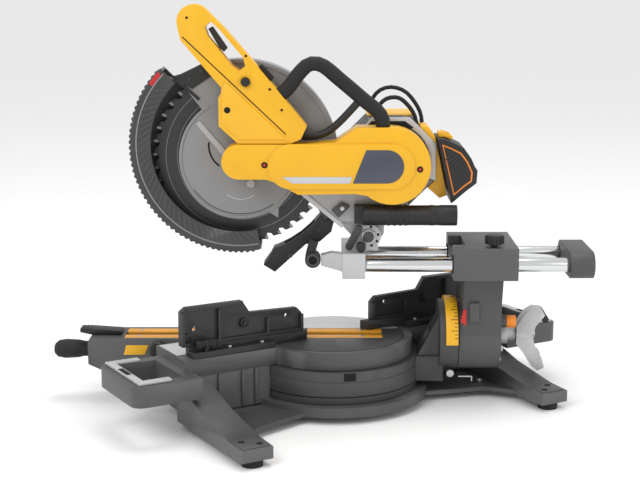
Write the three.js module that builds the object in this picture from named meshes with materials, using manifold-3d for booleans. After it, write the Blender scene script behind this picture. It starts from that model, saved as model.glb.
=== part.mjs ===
// Sliding compound miter saw, battery powered. Millimetres, +Z up.
// The row frame: +X is the operator's right, +Y the rear, the origin lies on the miter axis at bench level.
// Everything above the turntable is drawn in the arm frame: x to the rear along the saw's arm,
// y to the operator's left, z up. The arm frame turns about the miter axis.
import * as THREE from 'three';
import { mergeVertices } from 'three/addons/utils/BufferGeometryUtils.js';
import Module from 'manifold-3d';

const wasm = await Module();
wasm.setup();

// ---- driving dimensions ----
const GAP = 0.4;            // air between two pieces that touch
const MITER_DEG = 60;       // how far the arm is turned to the right
const TABLE_Z = 95;         // work surface
const TURN_R = 100;         // turntable's top
const DRUM_R = 121;         // turntable's drum, under the fixed ring
const ARM_HALF = 34;        // half width of the turntable's front arm
const ARM_FRONT = -351;     // front end of that arm
const BEVEL_Z = TABLE_Z;    // bevel axis height
const SLOT_HALF = 14;       // half width of the blade slot below the kerf plates
const KERF_HALF = 8;        // half gap between the kerf plates
const FENCE_END = 245;      // outer end of a fence
const BLADE_R = 125;
const BLADE_HALF = 1.3;     // half thickness
const TEETH = 40;
const ARBOR = [-131, 353];  // blade centre, x and z
const GUARD = [-134, 371];  // lower guard centre
const PIVOT = [48, 243];    // chop pivot
const MOTOR = [79, 347];    // motor axis
const MOTOR_R = 62;
const RAIL_Y = 43;
const RAIL_Z = 205;
const RAIL_R = 10;
const COVER_NEAR = -66;     // outer face of the belt cover
const CASE_NEAR = -27.7;    // near face of the head casting's plate
const CASE_FAR = -21;
const HANDLE_Y = -49;       // middle plane of the grip
const HANDLE_HALF = 14;
const SHAFT_R = 8;

// ---- materials ----
const mat = (color, roughness, metalness) => new THREE.MeshStandardMaterial({ color, roughness, metalness });
const yellow = mat(0xe2a51e, 0.5, 0);
const black = mat(0x1d1e20, 0.6, 0);
const darkGrey = mat(0x4c4e50, 0.6, 0.1);
const castGrey = mat(0x6a6b6c, 0.55, 0.4);
const lightGrey = mat(0xa9abac, 0.45, 0.5);
const guardGrey = mat(0x8e9091, 0.5, 0.1);
const steel = mat(0xb8bbbd, 0.3, 0.95);
const chrome = mat(0xd8dadb, 0.15, 1);
const orange = mat(0xee7c18, 0.5, 0);
const rubber = mat(0x191919, 0.9, 0);

// ---- solids ----
function solid(geometry) {
  let g = geometry.clone();
  g.deleteAttribute('normal');
  g.deleteAttribute('uv');
  g = mergeVertices(g, 1e-4);
  return new wasm.Manifold(new wasm.Mesh({
    numProp: 3,
    vertProperties: new Float32Array(g.attributes.position.array),
    triVerts: new Uint32Array(g.index.array),
  }));
}
const join = (...parts) => parts.reduce((a, b) => a.add(b));

function geometryOf(body) {
  const m = body.getMesh();
  const g = new THREE.BufferGeometry();
  g.setAttribute('position', new THREE.BufferAttribute(new Float32Array(m.vertProperties), 3));
  g.setIndex(new THREE.BufferAttribute(new Uint32Array(m.triVerts), 1));
  return g;
}

function box(x0, x1, y0, y1, z0, z1) {
  const g = new THREE.BoxGeometry(x1 - x0, y1 - y0, z1 - z0);
  return solid(g.translate((x0 + x1) / 2, (y0 + y1) / 2, (z0 + z1) / 2));
}
// An outline in one plane, pushed along the third axis.
function extrude(points, depth, holes = []) {
  const shape = new THREE.Shape(points.map(([u, v]) => new THREE.Vector2(u, v)));
  for (const hole of holes) shape.holes.push(new THREE.Path(hole.map(([u, v]) => new THREE.Vector2(u, v))));
  return new THREE.ExtrudeGeometry(shape, { depth, bevelEnabled: false });
}
const plateXZ = (points, y0, y1) => solid(extrude(points, y1 - y0).rotateX(Math.PI / 2).translate(0, y1, 0));
const plateXY = (points, z0, z1) => solid(extrude(points, z1 - z0).translate(0, 0, z0));
function plateYZ(points, x0, x1) {
  const turn = new THREE.Matrix4().makeBasis(
    new THREE.Vector3(0, 1, 0), new THREE.Vector3(0, 0, 1), new THREE.Vector3(1, 0, 0));
  return solid(extrude(points, x1 - x0).applyMatrix4(turn).translate(x0, 0, 0));
}
const cylY = (x, z, r, y0, y1, n = 24) =>
  solid(new THREE.CylinderGeometry(r, r, y1 - y0, n).translate(x, (y0 + y1) / 2, z));
const cylX = (y, z, r, x0, x1, n = 24) =>
  solid(new THREE.CylinderGeometry(r, r, x1 - x0, n).rotateZ(Math.PI / 2).translate((x0 + x1) / 2, y, z));
const cylZ = (x, y, r, z0, z1, n = 24) =>
  solid(new THREE.CylinderGeometry(r, r, z1 - z0, n).rotateX(Math.PI / 2).translate(x, y, (z0 + z1) / 2));

function tube(points, radius, steps, sides = 10) {
  const path = new THREE.CatmullRomCurve3(points.map((p) => new THREE.Vector3(...p)), false, 'centripetal');
  const ring = arc(0, 0, radius, 0, 360 - 360 / sides, sides - 1);
  const section = new THREE.Shape(ring.map(([u, v]) => new THREE.Vector2(u, v)));
  return solid(new THREE.ExtrudeGeometry(section, { steps, extrudePath: path, bevelEnabled: false }));
}
// Points of an arc, angles in degrees, anticlockwise when the end is larger.
function arc(cx, cy, r, from, to, steps) {
  return Array.from({ length: steps + 1 }, (_, i) => {
    const a = THREE.MathUtils.degToRad(from + ((to - from) * i) / steps);
    return [cx + r * Math.cos(a), cy + r * Math.sin(a)];
  });
}
const sector = (c, inner, outer, from, to, steps) =>
  [...arc(c[0], c[1], outer, from, to, steps), ...arc(c[0], c[1], inner, to, from, steps)];
// The loop round two circles, as a belt runs.
function loopRound(a, ra, b, rb) {
  const along = Math.atan2(b[1] - a[1], b[0] - a[0]);
  const lean = Math.acos((ra - rb) / Math.hypot(b[0] - a[0], b[1] - a[1]));
  const deg = (v) => THREE.MathUtils.radToDeg(v);
  return [...arc(a[0], a[1], ra, deg(along + lean), deg(along - lean) + 360, 20),
    ...arc(b[0], b[1], rb, deg(along - lean), deg(along + lean), 20)];
}

// ---- scene graph ----
const saw = new THREE.Group();
const arm = new THREE.Group();
arm.rotation.z = THREE.MathUtils.degToRad(90 + MITER_DEG);
saw.add(arm);
function piece(group, name, body, material) {
  const mesh = new THREE.Mesh(geometryOf(body), material);
  mesh.name = name;
  group.add(mesh);
}
const inBase = (name, body, material) => piece(saw, name, body, material);
const inArm = (name, body, material) => piece(arm, name, body, material);
const SIDES = [['right', 1], ['left', -1]];
const mirrored = (points, s) => (s > 0 ? points : points.map(([x, y]) => [-x, y]).reverse());

// ---- base, row frame ----
const FLANGE_R = 135;
const FLANGE_TOP = 24;
const RING_IN = 101;        // fixed ring that joins the two wings behind the table
const RING_OUT = 113;
const WING_LOW = 71;
const LEG_X = [214, 258];
const FOOT_X = 236;
const FOOT_REAR_Y = 198;
const FOOT_FRONT_Y = -52;
const FRONT_FOOT_X = 205;
const FOOT_H = 10;
const LOOP_END = 345;
const LOOP_Y = [-45, 85];
const LOOP_HOLE = [268, 325, -27, 67];
const SEAT_STEP = 0.4;      // the table is this much lower where the fences stand
// Half of the table's outline; its front edge keeps clear of the turned arm.
const wingOutline = [[60, -4], [105, -14], [150, -36], [205, -66], [250, -66], [250, 28], [60, 28]];
const wallOutline = [[90, -2], [150, -26], [200, -54], [248, -54], [248, 27], [90, 27]];
const legProfile = [[20, FOOT_H], [214, FOOT_H], [214, 26], [178, 28], [150, 33], [100, 42], [28, 64], [20, 72]];
const webOutline = [[60, 60], [120, 20], [240, 20], [240, 150], [214, 150], [186, 114], [97, 90]];
const FENCE_SEAT_Y = 27;

function loopBar() {
  const [y0, y1] = LOOP_Y;
  const outer = [[249, y0], [LOOP_END - 22, y0], ...arc(LOOP_END - 16, y0 + 16, 16, -90, 0, 5),
    ...arc(LOOP_END - 16, y1 - 16, 16, 0, 90, 5), [249, y1]];
  return plateXY(outer, 58, 86).subtract(box(LOOP_HOLE[0], LOOP_HOLE[1], LOOP_HOLE[2], LOOP_HOLE[3], 50, 96));
}
function baseHalf() {
  const walls = plateXY(wallOutline, FOOT_H + 8, WING_LOW + 1)
    .subtract(cylZ(0, 0, DRUM_R + 1.5, FLANGE_TOP, 120, 60));
  return join(plateXY(wingOutline, WING_LOW, TABLE_Z).subtract(cylZ(0, 0, RING_IN, 60, 120, 60)), walls,
    plateYZ(legProfile, ...LEG_X), plateXY(webOutline, FOOT_H, 16), loopBar(),
    cylZ(FRONT_FOOT_X, FOOT_FRONT_Y, 15, 0, WING_LOW + 1));
}
function baseCasting() {
  const half = baseHalf();
  const seat = box(-260, 260, -0.5, 200, TABLE_Z - SEAT_STEP, TABLE_Z + 5);
  return join(half, half.mirror([1, 0, 0]), cylZ(0, 0, FLANGE_R, FOOT_H, FLANGE_TOP, 60),
    cylZ(0, 0, 30, 0, FOOT_H + 1), plateXY(sector([0, 0], RING_IN, RING_OUT, -8, 188, 40), WING_LOW, TABLE_Z))
    .subtract(seat);
}
inBase('base_casting', baseCasting(), darkGrey);
for (const [side, s] of SIDES) {
  inBase(`foot_rear_${side}`, cylZ(s * FOOT_X, FOOT_REAR_Y, 14, 0, FOOT_H - GAP), rubber);
  const plate = box(290, LOOP_END - 8, LOOP_Y[0] + 6, LOOP_Y[1] - 6, 86 + GAP, TABLE_Z - 5)
    .subtract(box(280, LOOP_HOLE[1] + 1, LOOP_HOLE[2], LOOP_HOLE[3], 80, 100));
  inBase(`loop_plate_${side}`, s > 0 ? plate : plate.mirror([1, 0, 0]), lightGrey);
}
const scaleRing = plateXY(sector([0, 0], 123, 134, 212, 328, 40), FLANGE_TOP + GAP, FLANGE_TOP + 1.6);
inBase('miter_scale', scaleRing, lightGrey);

// ---- fences ----
const FENCE_IN = 44;
const FENCE_LOW = 14;       // height of the fixed part
function fixedFence() {
  return plateXY([[FENCE_IN, 0], [235, 0], [235, 12], [FENCE_IN + 8, 12]], TABLE_Z + GAP, TABLE_Z + FENCE_LOW)
    .add(box(110, 235, 11, FENCE_SEAT_Y, TABLE_Z + GAP, TABLE_Z + 8));
}
function slidingFence() {
  const z = TABLE_Z + FENCE_LOW + GAP;
  const top = TABLE_Z + 68;
  let body = plateXZ([[58, z], [FENCE_END, z], [FENCE_END, top - 6], [FENCE_END - 8, top], [152, top],
    [140, top - 18], [66, top - 20], [58, top - 28]], 0, 8);
  for (const x of [60, 114, 189, 243]) {
    body = body.add(box(x - 2, x + 2, 7, 14, z, x > 150 ? top - 7 : top - 29));
  }
  body = body.subtract(cylY(82, z + 24, 3.5, -1, 20, 12)).subtract(cylY(224, z + 22, 4, -1, 20, 12));
  return join(body, box(58, FENCE_END, 7, 14, z, z + 5), box(152, FENCE_END - 8, 7, 12, top - 4, top));
}
for (const [side, s] of SIDES) {
  const place = (body) => (s > 0 ? body : body.mirror([1, 0, 0]));
  inBase(`fixed_fence_${side}`, place(fixedFence()), darkGrey);
  inBase(`sliding_fence_${side}`, place(slidingFence()), darkGrey);
  const stem = cylZ(s * 214, 22.5, 4, TABLE_Z + 8 + GAP, TABLE_Z + 16, 12);
  const knob = join(stem, box(s * 214 - 12, s * 214 + 12, 20, 25, TABLE_Z + 15, TABLE_Z + 23));
  inBase(`fence_knob_${side}`, knob, black);
}

// ---- turntable, arm frame ----
const NECK_END = 150;
const BOSS_END = 176;
const BOSS_R = 50;
function turntable() {
  const underside = 50;
  const front = plateXZ([[0, underside], [-250, underside - 6], [ARM_FRONT + 30, underside - 6],
    [ARM_FRONT, underside + 8], [ARM_FRONT, TABLE_Z - 4], [ARM_FRONT + 6, TABLE_Z], [0, TABLE_Z]],
  -ARM_HALF, ARM_HALF);
  const gusset = plateXZ([[116, 60], [152, 60], [152, 128]], -22, 22);
  const rear = join(box(60, NECK_END + 6, -30, 30, 32, 68), gusset, cylX(0, BEVEL_Z, BOSS_R, NECK_END, BOSS_END, 48));
  let body = join(cylZ(0, 0, TURN_R, 60, TABLE_Z, 60), cylZ(0, 0, DRUM_R, FLANGE_TOP + 1, WING_LOW - 1, 60),
    front, rear);
  body = body.subtract(box(-285, 62, -SLOT_HALF, SLOT_HALF, 76, 120));
  body = body.subtract(box(-300, 70, -27, 27, TABLE_Z - 4 - GAP, 120));
  body = body.subtract(cylX(0, BEVEL_Z, 10 + GAP, 100, 300));
  const hollow = box(-320, -150, -ARM_HALF + 5, ARM_HALF - 5, 20, 74);
  return body.subtract(hollow);
}
inArm('turntable', turntable(), castGrey);
for (const [side, s] of [['right', -1], ['left', 1]]) {
  const edges = [s * KERF_HALF, s * (27 - GAP)];
  inArm(`kerf_plate_${side}`, box(-300 + GAP, 70 - GAP, Math.min(...edges), Math.max(...edges), TABLE_Z - 4,
    TABLE_Z), orange);
}
const gripProfile = [[0, 0], [12, 0], [12, 10], [14, 18], [15, 36], [13, 47], [8, 52], [0, 52]];
const gripTurn = new THREE.LatheGeometry(gripProfile.map(([r, h]) => new THREE.Vector2(r, h)), 24);
gripTurn.rotateZ(Math.PI / 2).scale(1, 1.3, 0.9).translate(ARM_FRONT - GAP, 0, 72);
inArm('miter_grip', solid(gripTurn), black);
inArm('miter_detent_lever', plateXZ([[ARM_FRONT + 46, 95.4], [ARM_FRONT + 2, 95.4], [ARM_FRONT - 14, 99],
  [ARM_FRONT - 14, 104], [ARM_FRONT + 4, 104], [ARM_FRONT + 46, 101]], -12, 12), black);
inArm('miter_lock_knob', join(cylY(-250, 82, 11, -52, -ARM_HALF - GAP, 16), box(-253, -247, -56, -51, 70, 94)), black);
const scaleBand = plateYZ(sector([0, BEVEL_Z], BOSS_R + GAP, BOSS_R + 5, 24, 184, 40), NECK_END + 8, BOSS_END - 1);
inArm('bevel_scale', scaleBand, yellow);
inArm('bevel_shaft', join(cylX(0, BEVEL_Z, 10, 152, 262), cylX(0, BEVEL_Z, 15, 236 + GAP, 250)), lightGrey);

// ---- bevel column ----
const COLUMN = [BOSS_END + 1, 236];
const HOUSING = [166, 256];
function columnCasting() {
  const neck = plateYZ([[-49, 92], [-49, 150], [-62, 188], [62, 188], [49, 150], [49, 92]],
    COLUMN[0] + 4, COLUMN[1]);
  const housing = box(HOUSING[0], HOUSING[1], -64, 64, 186, 232);
  let body = join(cylX(0, BEVEL_Z, BOSS_R, COLUMN[0], COLUMN[1], 48), neck, housing);
  for (const y of [-RAIL_Y, RAIL_Y]) body = body.subtract(cylX(y, RAIL_Z, RAIL_R + 0.6, 100, 300));
  body = body.subtract(box(100, 184, -35, 35, 219, 240));
  body = body.subtract(cylX(0, BEVEL_Z, 10 + GAP, 100, 300));
  for (const y of [-24, 24]) body = body.subtract(box(COLUMN[0] + 20, COLUMN[1] + 2, y - 13, y + 13, 136, 178));
  return body.add(cylX(-30, 120, 9, COLUMN[1] - 2, COLUMN[1] + 8));
}
inArm('column_casting', columnCasting(), castGrey);
inArm('bevel_stop_knob', cylX(-30, 120, 9, COLUMN[1] + 8 + GAP, COLUMN[1] + 22, 16), orange);
const leverOutline = [[262 + GAP, 82], [262 + GAP, 108], [276, 128], [286, 134], [298, 133], [303, 124], [290, 108],
  [286, 95], [289, 80], [300, 60], [303, 46], [294, 42], [284, 50], [272, 70]];
const bevelLever = join(cylX(0, BEVEL_Z, 15, 262 + GAP, 276), plateXZ(leverOutline, -13, 13));
inArm('bevel_lock_lever', bevelLever, lightGrey);
inArm('rail_lock_knob', join(cylZ(223, -50, 12, 236, 249, 12), cylZ(223, -50, 5, 232 + GAP, 237)), black);

// ---- slide ----
const BLOCK = [11, 43];
const CAP = [330, 363];
const STOP = [-30, 215];    // depth stop's eye, x and z
for (const [side, y] of [['right', -RAIL_Y], ['left', RAIL_Y]]) {
  inArm(`rail_${side}`, cylX(y, RAIL_Z, RAIL_R, BLOCK[0] + 4, CAP[1] - 8), chrome);
}
function withRailHoles(body) {
  let out = body;
  for (const y of [-RAIL_Y, RAIL_Y]) {
    out = out.subtract(cylX(y, RAIL_Z, RAIL_R + GAP, BLOCK[0] + 4 - GAP, CAP[1] - 8 + GAP));
  }
  return out;
}
function frontBlock() {
  let body = box(BLOCK[0], BLOCK[1], -60, 60, 188, 224);
  for (const y of [-24, 24]) {
    body = join(body, cylY(PIVOT[0], PIVOT[1], 18, y - 5, y + 5), box(30, 62, y - 5, y + 5, 222, 243));
  }
  const tongue = plateXZ([[12, 198], [12, 223], [-4, 225], [STOP[0] + 11 + GAP, 221], [STOP[0] + 11 + GAP, 207]],
    -58, -40);
  return withRailHoles(body.add(tongue)).subtract(cylY(PIVOT[0], PIVOT[1], 7 + GAP, -60, 60));
}
inArm('front_block', frontBlock(), lightGrey);
inArm('rail_end_cap', withRailHoles(join(box(CAP[0], CAP[1], -43, 43, 186, 224),
  cylX(-RAIL_Y, RAIL_Z, 19, ...CAP), cylX(RAIL_Y, RAIL_Z, 19, ...CAP))), darkGrey);
inArm('pivot_pin', join(cylY(...PIVOT, 7, -34, 34), cylY(...PIVOT, 11, -34, -29 - GAP, 6)), steel);
inArm('lock_down_pin', join(cylY(37, 232, 4, -46, -29 - GAP, 16), cylY(37, 232, 7, -54, -45, 12)), orange);
inArm('trench_stop', join(cylY(...STOP, 11, -61, -37), plateXZ([[-40, 222], [-27, 224], [-22, 240], [-34, 244]],
  -56, -42)), black);

// ---- head casting, guards and blade ----
const UPPER_R = 137;
const DISC_R = 86;
const RIM_IN = 146;
const RIM_OUT = 150;
const LOBE_R = 53;
// Outline shared by the belt cover and the casting plate behind it.
const coverOutline = [...arc(ARBOR[0], ARBOR[1], 24, 90, 270, 18), [-94, 329], [-80, 324], [-50, 308], [28, 309],
  ...arc(MOTOR[0], MOTOR[1], LOBE_R, -130, 90, 20), [30, 400], [1, 380], [-38, 377]];

function headCasting() {
  const armBlock = plateXZ([[14, 281], [10, 258], [34, 232], [48, 225.5], [60, 231], [70, 245], [72, 281]],
    CASE_NEAR, 17);
  let body = join(plateXZ(coverOutline, CASE_NEAR, CASE_FAR), armBlock,
    plateXZ([[-44, 310], [-44, 300], [12, 256], [40, 262], [72, 250], [76, 300], [40, 312]], CASE_NEAR, CASE_FAR));
  body = body.subtract(box(0, 90, -35, -18.6, 200, 264).subtract(cylY(...PIVOT, 60, -18.7, 30)));
  body = body.subtract(cylY(...ARBOR, 15 + GAP, -40, 0)).subtract(cylY(...MOTOR, 9, -40, 0));
  return body.subtract(cylY(...PIVOT, 7 + GAP, -60, 60));
}
inArm('head_casting', headCasting(), castGrey);

function upperGuard() {
  const rim = plateXZ(sector(ARBOR, UPPER_R - 4, UPPER_R, -18, 128, 36), CASE_FAR + GAP, 17);
  const cheek = (y0, y1) => join(plateXZ(sector(ARBOR, 40, UPPER_R - 1, -18, 128, 36), y0, y1),
    cylY(...ARBOR, DISC_R, y0, y1, 48));
  const wedge = plateXZ([[-120, 300], [-60, 312], [-64, 300], [-78, 282], [-79, 268], [-104, 284]],
    CASE_FAR + GAP, CASE_FAR + 6);
  const boss = cylY(...GUARD, 46, 16, 28, 40);
  const body = join(rim, cheek(CASE_FAR + GAP, CASE_FAR + 6), cheek(13, 17), wedge, boss);
  return body.subtract(cylY(...ARBOR, 24, -12, 40, 32)).subtract(cylY(...ARBOR, SHAFT_R + 1, -40, 0));
}
inArm('upper_guard', upperGuard(), guardGrey);
const shroudOutline = [[-250, 450], [-234, 437], [-218, 436], [-212, 443], [-222, 462], [-237, 465]];
inArm('front_shroud', plateXZ(shroudOutline, -19, 15)
  .subtract(cylY(...ARBOR, UPPER_R + GAP + 0.2, -40, 40, 72)), black);

const GUARD_ARC = [135, 282];
const BUMPS = 33;
function lowerGuard() {
  const crest = arc(GUARD[0], GUARD[1], RIM_OUT, ...GUARD_ARC, BUMPS * 2)
    .map(([x, z], i) => {
      const lift = 1 + (i % 2) / RIM_OUT;
      return [GUARD[0] + (x - GUARD[0]) * lift, GUARD[1] + (z - GUARD[1]) * lift];
    });
  const rim = plateXZ([...crest, ...arc(GUARD[0], GUARD[1], RIM_IN, GUARD_ARC[1], GUARD_ARC[0], 32)], -25, 24);
  const wall = plateXZ(sector(GUARD, 56, RIM_IN + 1, ...GUARD_ARC, 32), 21, 24);
  const hub = cylY(...GUARD, 60, 21, 24, 40).subtract(cylY(...GUARD, 46 + GAP, 0, 40, 40));
  const flange = plateXZ(sector(GUARD, 122, RIM_IN + 1, ...GUARD_ARC, 32), -25, -23);
  return join(rim, wall, hub, flange);
}
inArm('lower_guard', lowerGuard(), guardGrey);

const BOLT_FAR = 24;
function bladeOutline() {
  const pitch = 360 / TEETH;
  const polar = (r, deg) => arc(ARBOR[0], ARBOR[1], r, deg, deg, 1)[0];
  return Array.from({ length: TEETH }, (_, i) => [
    polar(BLADE_R - 9, i * pitch), polar(BLADE_R - 7, i * pitch + 2.4), polar(BLADE_R - 2, i * pitch + 3.4),
    polar(BLADE_R - 1, i * pitch + 7), polar(BLADE_R, i * pitch + 8.4), polar(BLADE_R - 6, i * pitch + 8.2),
  ]).flat();
}
inArm('saw_blade', plateXZ(bladeOutline(), -BLADE_HALF, BLADE_HALF)
  .subtract(cylY(...ARBOR, SHAFT_R + GAP, -5, 5)), steel);
// The inner flange is a shoulder of the shaft; the outer one is held by the bolt's head.
inArm('arbor_shaft', join(cylY(...ARBOR, SHAFT_R, -58, BLADE_HALF + GAP),
  cylY(...ARBOR, 22, -9, -BLADE_HALF - GAP)), steel);
inArm('arbor_bolt', join(cylY(...ARBOR, 22, BLADE_HALF + 2 * GAP, 9), cylY(...ARBOR, 11, 8, BOLT_FAR, 6)), steel);
inArm('arbor_bearing', cylY(...ARBOR, 15, CASE_NEAR, CASE_FAR)
  .subtract(cylY(...ARBOR, SHAFT_R + GAP, -40, 0)), steel);

// ---- belt drive ----
const BELT = [-54, -40];
const SMALL_PULLEY = 13;
const LARGE_PULLEY = 15;
const inset = [...arc(ARBOR[0], ARBOR[1], 20.6, 90, 270, 18), [-94, 332.4], [-78, 328], [-48, 313], [33, 314],
  ...arc(MOTOR[0], MOTOR[1], LOBE_R - 6, -130, 90, 20), [34, 396], [4, 376], [-38, 373.6]];
function beltCover() {
  const nearWall = 4;
  const shell = plateXZ(coverOutline, COVER_NEAR, CASE_NEAR - GAP);
  const stadium = plateXZ([...arc(-60, 347, 31, 90, 270, 14), ...arc(MOTOR[0], MOTOR[1], 31, -90, 90, 14)],
    COVER_NEAR - 3, COVER_NEAR + 1);
  return shell.subtract(plateXZ(inset, COVER_NEAR + nearWall, 0)).add(stadium);
}
inArm('belt_cover', beltCover(), yellow);
const pulley = (c, r, bore) => join(cylY(...c, r, ...BELT), cylY(...c, r + 3, BELT[0] - 2, BELT[0] - GAP),
  cylY(...c, r + 3, BELT[1] + GAP, BELT[1] + 2), cylY(...c, r - 1, BELT[0] - 1, BELT[1] + 1))
  .subtract(cylY(...c, bore + GAP, -80, 0));
inArm('arbor_pulley', pulley(ARBOR, LARGE_PULLEY, SHAFT_R), steel);
inArm('motor_pulley', pulley(MOTOR, SMALL_PULLEY, 6), steel);
const beltLoop = (grow) => loopRound(ARBOR, LARGE_PULLEY + grow, MOTOR, SMALL_PULLEY + grow);
inArm('drive_belt', plateXZ(beltLoop(2.8), BELT[0] + 0.5, BELT[1] - 0.5)
  .subtract(plateXZ(beltLoop(GAP), BELT[0] - 5, BELT[1] + 5)), rubber);

// ---- motor and battery ----
const MOTOR_Y = [CASE_FAR + GAP, 88];
const octagon = (grow) => arc(MOTOR[0], MOTOR[1], (MOTOR_R + grow) / Math.cos(Math.PI / 8), 22.5, 337.5, 7);
const motorFill = (grow) => plateXZ(octagon(grow), MOTOR_Y[0] - grow, MOTOR_Y[1] + 12);
const housingBody = plateXZ(octagon(0), ...MOTOR_Y).subtract(cylY(...MOTOR, 50, MOTOR_Y[0] + 6, 120, 40))
  .subtract(cylY(...MOTOR, 9, -40, 0));
inArm('motor_housing', housingBody, castGrey);
function endCap() {
  let body = join(plateXZ(octagon(-3), MOTOR_Y[1] + GAP, MOTOR_Y[1] + 8),
    cylY(...MOTOR, 49, MOTOR_Y[1] - 6, MOTOR_Y[1] + 1, 40));
  for (let i = 0; i < 8; i += 1) {
    const [x, z] = arc(...MOTOR, 34, i * 45, i * 45, 1)[0];
    body = body.subtract(cylY(x, z, 6, 60, 120, 12));
  }
  return body;
}
inArm('motor_end_cap', endCap(), yellow);
inArm('motor_stator', cylY(...MOTOR, 49, 0, 62, 40).subtract(cylY(...MOTOR, 29, -5, 70, 32)), steel);
inArm('motor_rotor', join(cylY(...MOTOR, 6, -58, 78), cylY(...MOTOR, 28, 2, 60)), steel);

const packOutline = [[143, 381], [152, 381], [166, 375], [180, 368], [190, 354], [198, 336], [197, 319],
  [184, 309], [163, 291]];
const batteryPack = (grow) => plateXZ(packOutline, -38 - grow, 38 + grow);
inArm('battery_pack', batteryPack(0), black);
const mountOutline = [[120, 398], [132, 396], [140, 384], [152, 330], [158, 300], [148, 296], [120, 320]];
inArm('battery_mount', plateXZ(mountOutline, -20, 40).subtract(motorFill(GAP))
  .subtract(batteryPack(GAP).translate([0.6, 0, 0])), yellow);
inArm('battery_release', plateXZ([[146, 381.6], [154, 381.6], [164, 377.6], [166, 382], [152, 388], [146, 388]],
  -14, 14), yellow);

// ---- grip ----
const gripOutline = [...arc(-190, 543, 23, 190, 42, 9), [-146, 531], [-109, 488], [-78, 451], [-38, 402],
  [-46, 384], [-60, 378], [-132, 378], [-158, 402], [-158, 440], [-152, 452], [-208, 518]];
const opening = [[-175, 536], [-167, 543], [-156, 533], [-124, 495], [-121, 483], [-129, 477], [-139, 484],
  [-171, 524]];
const BUTTON = [-121, 462];
for (const [side, s] of SIDES) {
  const ys = [HANDLE_Y, HANDLE_Y - s * HANDLE_HALF].sort((a, b) => a - b);
  const half = s > 0 ? [ys[0], ys[1] - 0.2] : [ys[0] + 0.2, ys[1]];
  let body = plateXZ(gripOutline, ...half).subtract(plateXZ(opening, -90, 0));
  body = body.subtract(plateXZ([[-166, 512], [-150, 490], [-140, 502], [-152, 520]], HANDLE_Y - 6, HANDLE_Y + 6));
  if (s > 0) body = body.subtract(cylY(...BUTTON, 6 + GAP, -90, HANDLE_Y - 4));
  inArm(`grip_shell_${side}`, body, yellow);
}
inArm('trigger', plateXZ([[-173, 532], [-167, 535], [-147, 506], [-152, 501], [-158, 506]].map(([x, z]) =>
  [x + 2, z + 1]), HANDLE_Y - 5, HANDLE_Y + 5).intersect(plateXZ(opening, -90, 0)), black);
inArm('lock_off_button', cylY(...BUTTON, 6, HANDLE_Y - HANDLE_HALF - 5, HANDLE_Y - 8), black);
const carryPath = [[-80, 441], [-66, 450], [-50, 471], [-35, 485], [-20, 485], [10, 462], [42, 435],
  [60, 420], [66, 408], [66, 400.6]].map(([x, z]) => [x, -52, z]);
const gripFill = plateXZ(gripOutline.map(([x, z]) => [x + 0.6, z]), -80, -30);
inArm('carry_handle', tube(carryPath, 10, 24, 12).subtract(gripFill)
  .subtract(cylY(...MOTOR, LOBE_R + GAP, -70, 0, 48)), black);
const conduit = [[-48, -40, 387], [-28, -40, 386], [-10, -42, 392], [6, -45, 405], [20, -48, 420], [36, -51, 438]];
inArm('wiring_conduit', tube(conduit, 5.5, 14, 10).subtract(gripFill).subtract(tube(carryPath, 10 + GAP, 24, 12)),
  black);
const cables = [
  ['front', 12, [[52, 410], [52, 428], [62, 443], [78, 449], [98, 444], [112, 430], [122, 412], [124, 399]]],
  ['rear', 0, [[62, 410], [63, 424], [74, 434], [90, 435], [102, 426], [112, 412], [116, 398]]],
];
for (const [name, y, route] of cables) {
  const path = route.map(([x, z]) => [x, y, z]);
  inArm(`motor_cable_${name}`, tube(path, 3, 16, 8).subtract(motorFill(GAP)).subtract(
    plateXZ(mountOutline, -21, 41)), rubber);
}

// ---- dust ----
const chuteOutline = [[-40, 312], [2, 272], [-4, 248], [-20, 234], [-40, 230], [-84, 190], [-100, 200], [-90, 214]];
inArm('dust_chute', plateXZ(chuteOutline, CASE_FAR + GAP, 12).subtract(cylY(...ARBOR, UPPER_R + 1, -40, 40, 48))
  .subtract(plateXZ([[-42, 262], [-22, 262], [-34, 244], [-82, 200], [-92, 204]], -16, 8)), black);
const DUCT_Z = 276;
const duct = join(cylX(-46, DUCT_Z, 14, 40, 170, 24), cylX(-46, DUCT_Z, 14.4, 132, 138, 24),
  cylX(-46, DUCT_Z, 14.4, 146, 170, 24), box(28, 64, -47, CASE_NEAR - GAP, 264, 289))
  .subtract(cylX(-46, DUCT_Z, 11, 66, 200, 24));
inArm('dust_duct', duct, black);

export default saw;
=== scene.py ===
# Sliding miter saw: finishes, fine pieces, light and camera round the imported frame. Metres, +Z up.
import math

import bmesh
import bpy
from mathutils import Matrix, Vector


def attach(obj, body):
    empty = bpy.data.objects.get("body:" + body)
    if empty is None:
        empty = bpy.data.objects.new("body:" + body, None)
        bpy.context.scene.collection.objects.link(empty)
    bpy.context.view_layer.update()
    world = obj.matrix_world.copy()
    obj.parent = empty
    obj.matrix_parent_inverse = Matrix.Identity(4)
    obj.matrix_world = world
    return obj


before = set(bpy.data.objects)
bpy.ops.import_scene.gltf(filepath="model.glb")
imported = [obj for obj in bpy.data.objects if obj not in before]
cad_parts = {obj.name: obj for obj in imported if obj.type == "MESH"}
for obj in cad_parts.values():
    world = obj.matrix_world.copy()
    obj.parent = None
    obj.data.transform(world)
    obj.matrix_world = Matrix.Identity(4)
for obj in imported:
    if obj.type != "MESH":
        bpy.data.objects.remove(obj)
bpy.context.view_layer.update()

MM = 0.001
ARM_TURN = math.radians(150)        # the arm frame against the row frame, about Z
ARM = Matrix.Rotation(ARM_TURN, 4, "Z")
ROW = Matrix.Identity(4)

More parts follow.
